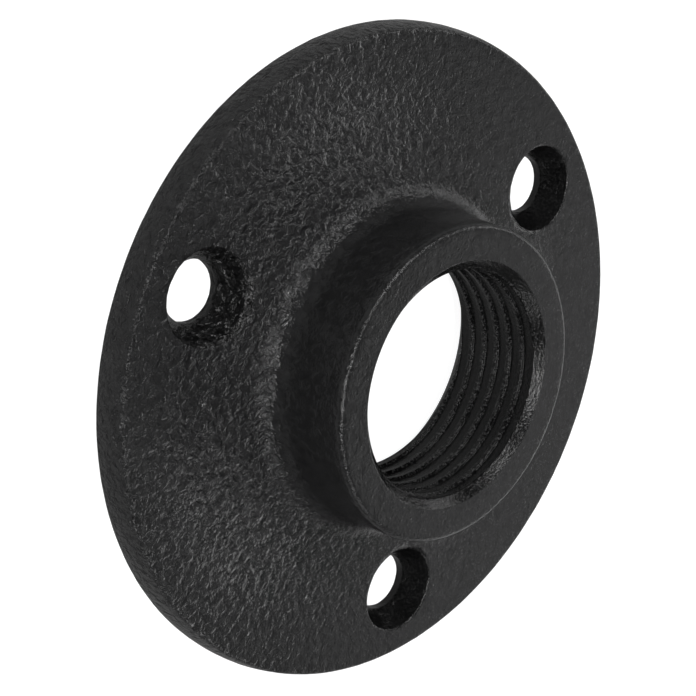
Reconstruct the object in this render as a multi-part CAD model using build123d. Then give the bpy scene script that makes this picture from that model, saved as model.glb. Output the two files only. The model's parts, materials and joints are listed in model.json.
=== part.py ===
from build123d import *
import os
from math import ceil, cos, radians, sin, sqrt, tan

# Base flange, cast in one piece: a round disc with a raised hub, tapped right through for pipe,
# and three tapered screw holes. Millimetres. +Z runs from the flat back face up the hub's axis,
# and the origin is at the centre of the back face.

# The disc
flange_diameter = 90.0  # at its widest
flange_thickness = 4.6  # at the rim's front edge
rim_widest_height = 1.2  # over the back face
rim_bulge_radius = 8.5  # of the rim's rounded side
rim_edge_bevel = 0.4  # all round, at the front and the back

# The pipe thread, right-handed and parallel: a sharp groove between broad flat crests
bore_diameter = 30.3  # at the crests
thread_pitch = 2.309
thread_crest_width = 1.0
thread_flank_angle = 27.5  # degrees, each flank from square
thread_start_angle = 235.0  # degrees round the hub, where the groove leaves the mouth
groove_overcut = 0.4  # how far the groove's cutter reaches inside the crests
spare_turns = 1  # of the cutter beyond each end of the bore

# The bore's two ends, outside its crests
mouth_chamfer = 1.55  # at 45 degrees
recess_depth = 2.85  # of the 45 degree recess cored in the back
recess_shift = 0.8  # how far the recess lies off the hub's axis
recess_shift_angle = 256.0  # degrees

# The hub and the gently rising skirt round its foot
overall_height = 17.3
hub_wall = 6.1  # outside the thread's crests, at the hub's top
hub_draft = 2.0  # degrees, wider towards the disc
hub_edge_bevel = 0.4
foot_radius = 4.0
skirt_diameter = 66.0
skirt_slope = 5.0  # degrees

# The screw holes: a tapered seat for a countersunk head over a short straight land
hole_count = 3
hole_rim_distance = 10.25  # from the rim's widest to a hole's centre
hole_diameter = 7.9
hole_seat_diameter = 12.1  # at the disc's front face
hole_land_height = 1.2
first_hole_angle = 106.5  # degrees

# What the parts share
rim_radius = flange_diameter / 2
crest_radius = bore_diameter / 2
hub_radius = crest_radius + hub_wall
past = 1.0  # how far a cutter runs past the metal


def rim_at(height):
    """Radius of the bulged rim at a height over the back face."""
    rise = height - rim_widest_height
    return rim_radius - rim_bulge_radius + sqrt(rim_bulge_radius**2 - rise**2)


def flange_body():
    """The turned form of the whole casting, solid through the middle."""
    # The foot is where the drafted hub wall meets the sloping skirt.
    skirt_radius = skirt_diameter / 2
    wall = tan(radians(hub_draft))
    rise = tan(radians(skirt_slope))
    hub_rise = overall_height - flange_thickness
    foot_x = (hub_radius + (hub_rise - skirt_radius * rise) * wall) / (1 - rise * wall)
    foot_y = flange_thickness + (skirt_radius - foot_x) * rise

    back = (rim_at(0), 0)
    widest = (rim_radius, rim_widest_height)
    front = (rim_at(flange_thickness), flange_thickness)
    skirt = (skirt_radius, flange_thickness)
    foot = (foot_x, foot_y)
    hub_edge = (hub_radius, overall_height)
    outline = Polyline((0, overall_height), (0, 0), back)
    outline += ThreePointArc(back, widest, front)
    outline += Polyline(front, skirt, foot, hub_edge, (0, overall_height))
    section = make_face(outline)
    for corner, bevel in ((back, rim_edge_bevel), (front, rim_edge_bevel), (hub_edge, hub_edge_bevel)):
        section = chamfer(section.vertices().sort_by_distance(corner)[0], bevel)
    section = fillet(section.vertices().sort_by_distance(foot)[0], foot_radius)
    return revolve(Plane.XZ * section, Axis.Z)


def bore():
    """The tapped bore: a plain hole at the thread's crests, its mouth chamfer and back recess."""
    hole = Pos(0, 0, overall_height / 2) * Cylinder(crest_radius, overall_height + 2 * past)
    mouth = crest_radius + mouth_chamfer + past
    chamfer_cut = Pos(0, 0, overall_height + past - mouth / 2) * Cone(0, mouth, mouth)
    wide = crest_radius + recess_depth + past
    turn = radians(recess_shift_angle)
    aside = Pos(recess_shift * cos(turn), recess_shift * sin(turn), wide / 2 - past)
    return hole + chamfer_cut + aside * Cone(wide, 0, wide)


def thread_groove():
    """The thread's helical groove, from below the back face to above the mouth."""
    slope = tan(radians(thread_flank_angle))
    half_gap = (thread_pitch - thread_crest_width) / 2
    lip = (crest_radius - groove_overcut, half_gap + groove_overcut * slope)
    section = Polygon((lip[0], -lip[1]), (crest_radius + half_gap / slope, 0), lip, align=None)
    turns_below = ceil(overall_height / thread_pitch) + spare_turns
    one_turn = Helix(thread_pitch, thread_pitch, crest_radius).edge()
    turns = range(turns_below + spare_turns)
    path = Wire([Pos(0, 0, turn * thread_pitch) * one_turn for turn in turns])
    groove = sweep(Plane.XZ * section, path, is_frenet=True)
    start = overall_height - turns_below * thread_pitch
    return Pos(0, 0, start) * Rot(0, 0, thread_start_angle) * groove


def screw_hole():
    """One tapered screw hole, straight at the back."""
    narrow = hole_diameter / 2
    taper = (hole_seat_diameter / 2 - narrow) / (flange_thickness - hole_land_height)
    land = Pos(0, 0, hole_land_height / 2) * Cylinder(narrow, hole_land_height + 2 * past)
    seat_height = 2 * flange_thickness - hole_land_height
    seat = Cone(narrow, narrow + taper * seat_height, seat_height)
    return land + Pos(0, 0, hole_land_height + seat_height / 2) * seat


hole_places = PolarLocations(rim_radius - hole_rim_distance, hole_count, first_hole_angle)
flange = flange_body() - bore()
flange -= [place * screw_hole() for place in hole_places]
flange -= thread_groove()
flange.label = "base_flange"

os.makedirs("parts", exist_ok=True)
export_step(flange, "parts/base_flange.step")
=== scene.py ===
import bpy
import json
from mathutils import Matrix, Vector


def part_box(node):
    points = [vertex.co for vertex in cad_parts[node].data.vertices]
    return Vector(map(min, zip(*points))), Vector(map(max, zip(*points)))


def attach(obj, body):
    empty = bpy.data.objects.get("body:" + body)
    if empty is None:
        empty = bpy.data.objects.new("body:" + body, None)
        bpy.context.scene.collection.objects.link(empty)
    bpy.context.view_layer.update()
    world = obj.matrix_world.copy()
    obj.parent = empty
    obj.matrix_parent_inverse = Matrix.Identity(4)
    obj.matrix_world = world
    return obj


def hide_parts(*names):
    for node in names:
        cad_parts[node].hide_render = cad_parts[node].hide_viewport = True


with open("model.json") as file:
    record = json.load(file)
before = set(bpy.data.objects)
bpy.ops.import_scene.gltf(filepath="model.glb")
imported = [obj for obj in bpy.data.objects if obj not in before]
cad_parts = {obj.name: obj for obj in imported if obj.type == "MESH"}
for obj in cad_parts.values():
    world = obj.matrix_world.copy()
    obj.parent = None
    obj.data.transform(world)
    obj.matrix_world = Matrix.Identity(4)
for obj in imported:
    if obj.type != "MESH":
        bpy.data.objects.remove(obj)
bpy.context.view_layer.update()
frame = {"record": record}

import json
from math import ceil, cos, pi, radians, sin, sqrt, tan

import bpy
from mathutils import Euler, Matrix, Vector

MM = 0.001

# ---------------------------------------------------------------------------
# The casting
# One iron casting: a thin round disc, a hub rising out of it over a gentle skirt, and three
# cored screw holes. It is turned from its section, roughened as sand leaves it, then cored and
# tapped. Its overall sizes and its mates' come from the frame; the rest repeat the part's own.
# ---------------------------------------------------------------------------

mounts = {mount["name"]: mount for mount in frame["record"]["mounts"]}
crest_radius = mounts["pipe_thread"]["dims"]["r_mm"] * MM
hole_radius = mounts["screw_holes"]["dims"]["hole_r_mm"] * MM
hole_circle_radius = mounts["screw_holes"]["dims"]["pcd_mm"] / 2 * MM
hole_count = mounts["screw_holes"]["dims"]["count"]
disc_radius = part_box("base_flange")[1][0]
overall_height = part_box("base_flange")[1][2]

disc_thickness = 4.6 * MM
rim_widest_height = 1.2 * MM
rim_bulge_radius = 8.5 * MM
hub_wall = 6.1 * MM
hub_radius = crest_radius + hub_wall
hub_draft = radians(2)
foot_radius = 4.0 * MM
skirt_radius = 33.0 * MM
skirt_slope = radians(5)
back_edge_rounding = 0.4 * MM
front_edge_rounding = 0.55 * MM
hub_edge_rounding = 0.9 * MM  # the solid has a 0.4 mm bevel here
skirt_blend = 40 * MM


def rim_at(height):
    """Radius of the bulged rim at a height over the back face."""
    rise = height - rim_widest_height
    return disc_radius - rim_bulge_radius + sqrt(rim_bulge_radius**2 - rise**2)


def section_curve(name, corners):
    """An open section as a curve: each corner is its radius, its height and its rounding."""
    curve = bpy.data.curves.new(name, "CURVE")
    curve.dimensions = "3D"
    spline = curve.splines.new("POLY")
    spline.points.add(len(corners) - 1)
    for point, (radius, height, rounding) in zip(spline.points, corners):
        point.co = (radius, height, 0, 1)
        point.radius = rounding / MM
    section = bpy.data.objects.new(name, curve)
    bpy.context.collection.objects.link(section)
    return section


wall, rise = tan(hub_draft), tan(skirt_slope)
foot = (hub_radius + (overall_height - disc_thickness - skirt_radius * rise) * wall) / (1 - rise * wall)
bulge_steps = 8
bulge = [disc_thickness * step / bulge_steps for step in range(bulge_steps + 1)]
casting_section = section_curve(
    "casting_section",
    [(0, 0, 0), (rim_at(0), 0, back_edge_rounding)]
    + [(rim_at(height), height, 0) for height in bulge[1:-1]]
    + [
        (rim_at(disc_thickness), disc_thickness, front_edge_rounding),
        (skirt_radius, disc_thickness, skirt_blend),
        (foot, disc_thickness + (skirt_radius - foot) * rise, foot_radius),
        (hub_radius, overall_height, hub_edge_rounding),
        (0, overall_height, 0),
    ],
)

# The cutters: the drilled bore with its chamfered mouth, the cored recess in the back, and a
# screw hole, straight at the back and tapered to take a countersunk head.
past = 1.0 * MM
mouth_chamfer = 1.55 * MM
recess_depth = 2.85 * MM
off_axis = 0.8 * MM  # of the recess in the back
off_axis_angle = radians(256)
recess_shift = (off_axis * cos(off_axis_angle), off_axis * sin(off_axis_angle), 0)
bore_section = section_curve(
    "bore_section",
    [
        (0, -past, 0),
        (crest_radius, -past, 0),
        (crest_radius, overall_height - mouth_chamfer, 0.2 * MM),
        (crest_radius + mouth_chamfer + past, overall_height + past, 0),
        (0, overall_height + past, 0),
    ],
)
recess_section = section_curve(
    "recess_section",
    [(0, -past, 0), (crest_radius + recess_depth + past, -past, 0), (0, crest_radius + recess_depth, 0)],
)
seat_radius = 6.05 * MM
hole_land = 1.2 * MM
hole_lip = 0.45 * MM
first_hole_angle = radians(106.5)
hole_section = section_curve(
    "hole_section",
    [
        (0, -past, 0),
        (hole_radius + past, -past, 0),
        (hole_radius, 0, 0.3 * MM),
        (hole_radius, hole_land, 0.8 * MM),
        (seat_radius, disc_thickness - 0.1 * MM, hole_lip),
        (seat_radius + 2 * past, disc_thickness + 1.3 * past, 0),
        (0, disc_thickness + 1.3 * past, 0),
    ],
)

# The thread: right-handed, a groove between broad crests whose edges are a little worn. The
# crests are narrower than the solid's, which are 1.0 mm wide.
thread_pitch = 2.309 * MM
crest_width = 0.85 * MM
flank_slope = tan(radians(27.5))
thread_start = 235  # degrees round the hub, where the groove leaves the mouth
half_gap = (thread_pitch - crest_width) / 2
groove_depth = half_gap / flank_slope


def closed_section(name, points):
    """A closed section as a curve."""
    section = section_curve(name, [(x, y, 0) for x, y in points])
    section.data.splines[0].use_cyclic_u = True
    return section


overcut = 0.4 * MM
worn = 0.12 * MM
root_flat = 0.1 * MM
groove_section = closed_section(
    "groove_section",
    [
        (-overcut, -half_gap - worn * 0.5),
        (0, -half_gap - worn),
        (worn, -half_gap + worn * 1.2),
        (groove_depth - root_flat, -root_flat / 2),
        (groove_depth - root_flat, root_flat / 2),
        (worn, half_gap - worn * 1.2),
        (0, half_gap + worn),
        (-overcut, half_gap + worn * 0.5),
    ],
)


def new_tree(name, sockets):
    """A geometry tree with its named inputs, and a geometry output."""
    tree = bpy.data.node_groups.new(name, "GeometryNodeTree")
    for socket, kind, value in sockets:
        made = tree.interface.new_socket(socket, in_out="INPUT", socket_type="NodeSocket" + kind)
        if value is not None:
            made.default_value = value
    tree.interface.new_socket("Geometry", in_out="OUTPUT", socket_type="NodeSocketGeometry")
    return tree


def add(tree, kind, inputs=None, **settings):
    """One node, its settings, and its inputs as values or as the sockets that feed them."""
    node = tree.nodes.new(kind)
    for name, value in settings.items():
        setattr(node, name, value)
    for name, value in (inputs or {}).items():
        socket = node.inputs[name]
        if isinstance(value, bpy.types.NodeSocket):
            tree.links.new(value, socket)
        else:
            socket.default_value = value
    return node


def turned_tree():
    """Turns an open section about Z into a closed solid."""
    tree = new_tree(
        "turned",
        [
            ("Section", "Object", None),
            ("Columns", "Int", 512),
            ("Rounding points", "Int", 6),
            ("Row step", "Float", 0.8 * MM),
        ],
    )
    given = tree.nodes.new("NodeGroupInput").outputs
    section = add(tree, "GeometryNodeObjectInfo", {"Object": given["Section"]})
    rounding = add(tree, "GeometryNodeInputRadius")
    in_metres = add(tree, "ShaderNodeMath", {0: rounding.outputs[0], 1: MM}, operation="MULTIPLY")
    rounded = add(
        tree,
        "GeometryNodeFilletCurve",
        {"Curve": section.outputs["Geometry"], "Radius": in_metres.outputs[0], "Limit Radius": True},
    )
    rounded.mode = "POLY"
    for socket in rounded.inputs:
        if socket.name == "Count":
            tree.links.new(given["Rounding points"], socket)
    # each straight run is cut into rows by its own length
    index = add(tree, "GeometryNodeOffsetPointInCurve", {"Offset": 1})
    here = add(tree, "GeometryNodeInputPosition")
    ahead = add(
        tree,
        "GeometryNodeFieldAtIndex",
        {"Index": index.outputs["Point Index"]},
        data_type="FLOAT_VECTOR",
    )
    tree.links.new(here.outputs[0], ahead.inputs["Value"])
    run = add(
        tree, "ShaderNodeVectorMath", {0: here.outputs[0], 1: ahead.outputs[0]}, operation="DISTANCE"
    )
    rows = add(tree, "ShaderNodeMath", {0: run.outputs["Value"], 1: given["Row step"]}, operation="DIVIDE")
    cut = add(tree, "GeometryNodeSubdivideCurve", {"Curve": rounded.outputs[0], "Cuts": rows.outputs[0]})
    # the path is a small ring, and the section is drawn in by the ring's own radius
    ring = 1.0 * MM
    path = add(tree, "GeometryNodeCurvePrimitiveCircle", {"Resolution": given["Columns"], "Radius": ring})
    upright = add(tree, "GeometryNodeSetCurveNormal", {"Curve": path.outputs["Curve"]}, mode="Z_UP")
    placed = add(tree, "GeometryNodeSetPosition", {"Geometry": cut.outputs[0], "Offset": (-ring, 0, 0)})
    skin = add(
        tree, "GeometryNodeCurveToMesh", {"Curve": upright.outputs[0], "Profile Curve": placed.outputs[0]}
    )
    closed = add(tree, "GeometryNodeMergeByDistance", {"Geometry": skin.outputs[0], "Distance": 1e-6})
    # the section's heights come out pointing down, so the solid is rolled over
    rolled_over = add(tree, "GeometryNodeTransform", {"Geometry": closed.outputs[0], "Rotation": (pi, 0, 0)})
    tree.links.new(rolled_over.outputs[0], tree.nodes.new("NodeGroupOutput").inputs[0])
    return tree


turned = turned_tree()


def casting_tree():
    """The whole casting: turned, roughened, cored, bored and tapped."""
    sizes = [
        ("Geometry", "Geometry", None),
        ("Casting section", "Object", casting_section),
        ("Bore section", "Object", bore_section),
        ("Recess section", "Object", recess_section),
        ("Hole section", "Object", hole_section),
        ("Hole count", "Int", hole_count),
        ("Hole circle", "Float", hole_circle_radius),
        ("Thread pitch", "Float", thread_pitch),
        ("Roughness", "Float", 0.1 * MM),
        ("Finish", "Material", None),
    ]
    tree = new_tree("casting", sizes)
    given = tree.nodes.new("NodeGroupInput").outputs

    def turn(section, columns, row_step):
        node = add(tree, "GeometryNodeGroup", node_tree=turned)
        tree.links.new(given[section], node.inputs["Section"])
        node.inputs["Columns"].default_value = columns
        node.inputs["Row step"].default_value = row_step
        return node.outputs[0]

    def roughened(skin, amount, scale, seed):
        """Lumps along a skin's normals: mostly inward for a negative amount, outward for a positive."""
        normal = add(tree, "GeometryNodeInputNormal")
        noise = add(
            tree,
            "ShaderNodeTexNoise",
            {"W": seed, "Scale": scale, "Detail": 2.0, "Roughness": 0.55},
            noise_dimensions="4D",
        )
        depth = add(tree, "ShaderNodeMath", {0: noise.outputs[0], 1: 0.25}, operation="SUBTRACT")
        depth = add(tree, "ShaderNodeMath", {0: depth.outputs[0], 1: amount}, operation="MULTIPLY")
        along = add(
            tree, "ShaderNodeVectorMath", {0: normal.outputs[0], "Scale": depth.outputs[0]}, operation="SCALE"
        )
        moved = add(tree, "GeometryNodeSetPosition", {"Geometry": skin, "Offset": along.outputs[0]})
        return moved.outputs[0]

    into = add(tree, "ShaderNodeMath", {0: given["Roughness"], 1: -1.0}, operation="MULTIPLY").outputs[0]
    disc = roughened(turn("Casting section", 512, 0.8 * MM), into, 420.0, 1.0)

    # the cored screw holes, each a little different from the last
    core = turn("Hole section", 96, 0.35 * MM)
    circle = add(
        tree,
        "GeometryNodeCurvePrimitiveCircle",
        {"Resolution": given["Hole count"], "Radius": given["Hole circle"]},
    )
    cores = add(tree, "GeometryNodeInstanceOnPoints", {"Points": circle.outputs["Curve"], "Instance": core})
    cores = add(tree, "GeometryNodeRealizeInstances", {"Geometry": cores.outputs[0]})
    cores = add(
        tree,
        "GeometryNodeTransform",
        {"Geometry": cores.outputs[0], "Rotation": (0, 0, first_hole_angle)},
    )
    cores = roughened(cores.outputs[0], 0.16 * MM, 900.0, 5.0)

    bore = turn("Bore section", 256, 4 * MM)
    recess = add(
        tree,
        "GeometryNodeTransform",
        {"Geometry": turn("Recess section", 160, 2 * MM), "Translation": recess_shift},
    ).outputs[0]

    # the tap's groove: a vee swept along a helix that starts below the back and ends above the mouth
    turns_below = ceil(overall_height / thread_pitch) + 1
    turns = turns_below + 1
    height = add(tree, "ShaderNodeMath", {0: given["Thread pitch"], 1: float(turns)}, operation="MULTIPLY")
    helix = add(
        tree,
        "GeometryNodeCurveSpiral",
        {
            "Resolution": 144,
            "Rotations": float(turns),
            "Start Radius": crest_radius,
            "End Radius": crest_radius,
            "Height": height.outputs[0],
        },
    )
    upright = add(tree, "GeometryNodeSetCurveNormal", {"Curve": helix.outputs[0]}, mode="Z_UP")
    vee = add(tree, "GeometryNodeObjectInfo", {"Object": groove_section})
    groove = add(
        tree,
        "GeometryNodeCurveToMesh",
        {"Curve": upright.outputs[0], "Profile Curve": vee.outputs["Geometry"], "Fill Caps": True},
    )
    start = overall_height - turns_below * thread_pitch
    groove = add(
        tree,
        "GeometryNodeTransform",
        {
            "Geometry": groove.outputs[0],
            "Translation": (0, 0, start),
            "Rotation": (0, 0, radians(thread_start)),
        },
    ).outputs[0]
    groove = roughened(groove, 0.12 * MM, 700.0, 9.0)

    # what a cutter leaves is marked: there the coat's colour is painted darker, as painted shade inside the
    # bore and the holes, and its speck bumps are shallower
    solid = disc
    for cutter in (bore, recess, groove, cores):
        marked = add(
            tree,
            "GeometryNodeStoreNamedAttribute",
            {"Geometry": cutter, "Name": "inside"},
            data_type="FLOAT",
            domain="FACE",
        )
        marked.inputs["Value"].default_value = 1.0
        cut = add(tree, "GeometryNodeMeshBoolean", operation="DIFFERENCE", solver="MANIFOLD")
        tree.links.new(solid, cut.inputs["Mesh 1"])
        tree.links.new(marked.outputs[0], cut.inputs["Mesh 2"])
        solid = cut.outputs["Mesh"]
    welded = add(tree, "GeometryNodeMergeByDistance", {"Geometry": solid, "Distance": 2e-6})
    whole = add(tree, "GeometryNodeRealizeInstances", {"Geometry": welded.outputs[0]})
    coated = add(
        tree, "GeometryNodeSetMaterial", {"Geometry": whole.outputs[0], "Material": given["Finish"]}
    )
    tree.links.new(coated.outputs[0], tree.nodes.new("NodeGroupOutput").inputs[0])
    return tree


def coat():
    """Thin black coat: coarse grain on one side of the disc; inside the cuts its colour is painted darker as
    shade and flecked with painted glints.
    """
    material = bpy.data.materials.new("black_coat")
    material.use_nodes = True
    tree = material.node_tree
    shader = tree.nodes["Principled BSDF"]
    place = add(tree, "ShaderNodeTexCoord").outputs["Object"]
    axes = add(tree, "ShaderNodeSeparateXYZ", {"Vector": place})
    flat = add(tree, "ShaderNodeCombineXYZ", {"X": axes.outputs["X"], "Y": axes.outputs["Y"]})
    radius = add(tree, "ShaderNodeVectorMath", {0: flat.outputs[0]}, operation="LENGTH").outputs["Value"]

    def ramp(value, start, end, low, high):
        """A value's smooth change from low to high as another goes from start to end."""
        inputs = {"Value": value, "From Min": start, "From Max": end, "To Min": low, "To Max": high}
        node = add(tree, "ShaderNodeMapRange", inputs, interpolation_type="SMOOTHSTEP")
        return node.outputs["Result"]

    def times(first, second):
        return add(tree, "ShaderNodeMath", {0: first, 1: second}, operation="MULTIPLY").outputs[0]

    # the grain is coarsest round the hub's foot, on one side, and fades towards the other
    side = add(tree, "ShaderNodeVectorMath", {0: place, 1: (1, -0.1, 0)}, operation="DOT_PRODUCT")
    coarse = ramp(side.outputs["Value"], -12 * MM, 32 * MM, 0.24, 1.35)
    near_rim = ramp(radius, 33 * MM, 42 * MM, 1.0, 0.6)
    round_rim = ramp(radius, 43.6 * MM, 44.2 * MM, 1.0, 2.2)
    off_wall = ramp(radius, hub_radius + 0.6 * MM, hub_radius + 2.2 * MM, 0.3, 1.0)
    amount = times(times(coarse, near_rim), times(off_wall, round_rim))

    lumps = add(
        tree,
        "ShaderNodeTexNoise",
        {"Vector": place, "Scale": 900.0, "Detail": 3.0, "Roughness": 0.5, "Distortion": 0.5},
    )
    specks = add(
        tree, "ShaderNodeTexNoise", {"Vector": place, "Scale": 3200.0, "Detail": 2.0, "Roughness": 0.6}
    )
    inside = add(tree, "ShaderNodeAttribute", attribute_name="inside").outputs["Fac"]
    ragged = ramp(inside, 0.0, 1.0, 0.09 * MM, 0.07 * MM)
    edge = add(tree, "ShaderNodeBevel", {"Radius": 0.22 * MM}, samples=6)
    grainy = add(
        tree,
        "ShaderNodeBump",
        {
            "Strength": amount,
            "Distance": 0.58 * MM,
            "Height": lumps.outputs["Fac"],
            "Normal": edge.outputs["Normal"],
        },
    )
    speckled = add(
        tree,
        "ShaderNodeBump",
        {"Distance": ragged, "Height": specks.outputs["Fac"], "Normal": grainy.outputs["Normal"]},
    )
    tree.links.new(speckled.outputs["Normal"], shader.inputs["Normal"])

    tone = add(tree, "ShaderNodeValToRGB", {"Fac": lumps.outputs["Fac"]})
    tone.color_ramp.elements[0].position, tone.color_ramp.elements[1].position = 0.3, 0.75
    tone.color_ramp.elements[0].color = (0.010, 0.010, 0.0103, 1)
    tone.color_ramp.elements[1].color = (0.022, 0.022, 0.0224, 1)
    # painted shade: the coat's colour is darkened to 0.12 of itself inside the bore, the thread and the screw
    # holes
    painted_shade = ramp(inside, 0.0, 1.0, 1.0, 0.12)
    tone_with_painted_shade = add(tree, "ShaderNodeVectorMath", {0: tone.outputs["Color"], "Scale": painted_shade}, operation="SCALE")
    # painted glints: light specks in the colour on the thread's crests, and fewer in the screw holes
    on_crests = ramp(radius, crest_radius + 0.1 * MM, crest_radius + 0.6 * MM, 1.0, 0.05)
    in_holes = ramp(radius, hub_radius, hub_radius + 2 * MM, 0.0, 0.15)
    painted_glint_places = add(tree, "ShaderNodeMath", {0: on_crests, 1: in_holes}, operation="MAXIMUM").outputs[0]
    glint_pattern = ramp(specks.outputs["Fac"], 0.48, 0.62, 0.0, 0.04)
    painted_glints = times(times(inside, painted_glint_places), glint_pattern)
    tone_with_painted_glints = add(tree, "ShaderNodeVectorMath", {0: tone_with_painted_shade.outputs[0], 1: painted_glints}, operation="ADD")
    # the colour carries the painted shade inside the cuts and the painted glints on top of the grain's tone
    tree.links.new(tone_with_painted_glints.outputs[0], shader.inputs["Base Color"])
    gloss = ramp(specks.outputs["Fac"], 0.3, 0.7, 0.10, 0.24)
    tree.links.new(gloss, shader.inputs["Roughness"])
    return material


black_coat = coat()
casting_mesh = bpy.data.meshes.new("base_flange_casting")
casting = bpy.data.objects.new("base_flange_casting", casting_mesh)
bpy.context.collection.objects.link(casting)
tree = casting_tree()
maker = casting.modifiers.new("casting", "NODES")
maker.node_group = tree
sockets = {item.name: item.identifier for item in tree.interface.items_tree if item.in_out == "INPUT"}
maker[sockets["Finish"]] = black_coat
graph = bpy.context.evaluated_depsgraph_get()
finished = bpy.data.meshes.new_from_object(casting.evaluated_get(graph), depsgraph=graph)
casting.modifiers.remove(maker)
casting.data = finished
finished.name = "base_flange_casting"
bpy.data.meshes.remove(casting_mesh)
for section in (casting_section, bore_section, recess_section, hole_section, groove_section):
    bpy.data.objects.remove(section)
for face in finished.polygons:
    face.use_smooth = True
finished.set_sharp_from_angle(angle=radians(35))
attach(casting, "root")
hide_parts("base_flange")

# ---------------------------------------------------------------------------
# The floor
# A pale seamless floor that the lens sees as plain white. Its glow and the lamps together pass
# white everywhere, so the casting's shadow doesn't show on it.
# ---------------------------------------------------------------------------

floor_half = 3.0
floor_mesh = bpy.data.meshes.new("floor")
corners = [(-1, -1), (1, -1), (1, 1), (-1, 1)]
floor_mesh.from_pydata([(x * floor_half, y * floor_half, 0) for x, y in corners], [], [(0, 1, 2, 3)])
floor = bpy.data.objects.new("floor", floor_mesh)
bpy.context.collection.objects.link(floor)
pale = bpy.data.materials.new("pale_floor")
pale.use_nodes = True
nodes, links = pale.node_tree.nodes, pale.node_tree.links
dull = nodes["Principled BSDF"]
dull.inputs["Base Color"].default_value = (0.3, 0.3, 0.3, 1)
dull.inputs["Roughness"].default_value = 1
dull.inputs["Specular IOR Level"].default_value = 0
seen = add(pale.node_tree, "ShaderNodeLightPath").outputs
for_lens = add(pale.node_tree, "ShaderNodeMath", {0: seen["Is Camera Ray"], 1: 0.94}, operation="MULTIPLY")
for_gloss = add(
    pale.node_tree,
    "ShaderNodeMath",
    {0: seen["Is Glossy Ray"], 1: 0.06, 2: for_lens.outputs[0]},
    operation="MULTIPLY_ADD",
)
dull.inputs["Emission Color"].default_value = (1, 1, 1, 1)
links.new(for_gloss.outputs[0], dull.inputs["Emission Strength"])
floor_mesh.materials.append(pale)

# ---------------------------------------------------------------------------
# Light
# Soft boxes over a dim studio: one broad and one long on the far side, four narrow strips that
# draw the edges, and a near fill that no reflection shows.
# ---------------------------------------------------------------------------

world = bpy.data.worlds.new("studio")
bpy.context.scene.world = world
world.use_nodes = True
nodes, links = world.node_tree.nodes, world.node_tree.links
background = nodes["Background"]
seen = nodes.new("ShaderNodeLightPath")
white = nodes.new("ShaderNodeMix")
white.data_type = "RGBA"
links.new(seen.outputs["Is Camera Ray"], white.inputs["Factor"])
dim_side, lens_side = white.inputs[6], white.inputs[7]
dim_side.default_value = (0.07, 0.07, 0.07, 1)
lens_side.default_value = (1, 1, 1, 1)
links.new(white.outputs[2], background.inputs["Color"])


def soft_box(name, towards, distance, width, height, radiance):
    """A rectangular lamp that looks at the casting from one direction, with a set brightness."""
    lamp = bpy.data.lights.new(name, "AREA")
    lamp.shape = "RECTANGLE"
    lamp.size, lamp.size_y = width, height
    lamp.energy = radiance * pi * width * height
    box = bpy.data.objects.new(name, lamp)
    box.location = Vector(towards).normalized() * distance
    box.rotation_euler = Vector(towards).to_track_quat("Z", "Y").to_euler()
    bpy.context.collection.objects.link(box)
    return box


soft_box("far_box", (-0.80, 0.17, 0.58), 1.2, 0.8, 0.5, 0.52)
soft_box("far_wall", (-0.97, 0.20, 0.06), 1.6, 2.2, 0.22, 2.6)
soft_box("top_strip", (0.41, 0.17, 0.90), 1.2, 0.7, 0.13, 20.0)
soft_box("side_strip", (0.03, -0.56, 0.81), 1.2, 0.6, 0.14, 13.0)
soft_box("low_strip", (-0.70, -0.59, 0.39), 1.2, 0.4, 0.16, 6.0)
soft_box("other_side_strip", (-0.09, 0.79, 0.57), 1.2, 0.5, 0.16, 4.0)
fill = soft_box("near_fill", (0.80, -0.20, 0.50), 1.2, 0.8, 0.8, 3.2)
fill.visible_glossy = False

# ---------------------------------------------------------------------------
# Camera
# A long lens close over the hub, rolled well off level.
# ---------------------------------------------------------------------------

camera_aim = Vector((4.03 * MM, -0.78 * MM, 0))
camera_distance = 228.01 * MM
camera_azimuth, camera_elevation, camera_roll = -13.668, 43.474, 109.465
lens = bpy.data.cameras.new("camera")
lens.sensor_width = 36
lens.lens = 87.84
lens.clip_start = 0.01
camera = bpy.data.objects.new("camera", lens)
level = Euler((radians(90 - camera_elevation), 0, radians(90 + camera_azimuth))).to_matrix()
turned_to = level @ Matrix.Rotation(radians(camera_roll), 3, "Z")
camera_place = Matrix.Translation(camera_aim + turned_to.col[2] * camera_distance)
camera.matrix_world = camera_place @ turned_to.to_4x4()
bpy.context.collection.objects.link(camera)
bpy.context.scene.camera = camera
bpy.context.scene.view_settings.view_transform = "Standard"
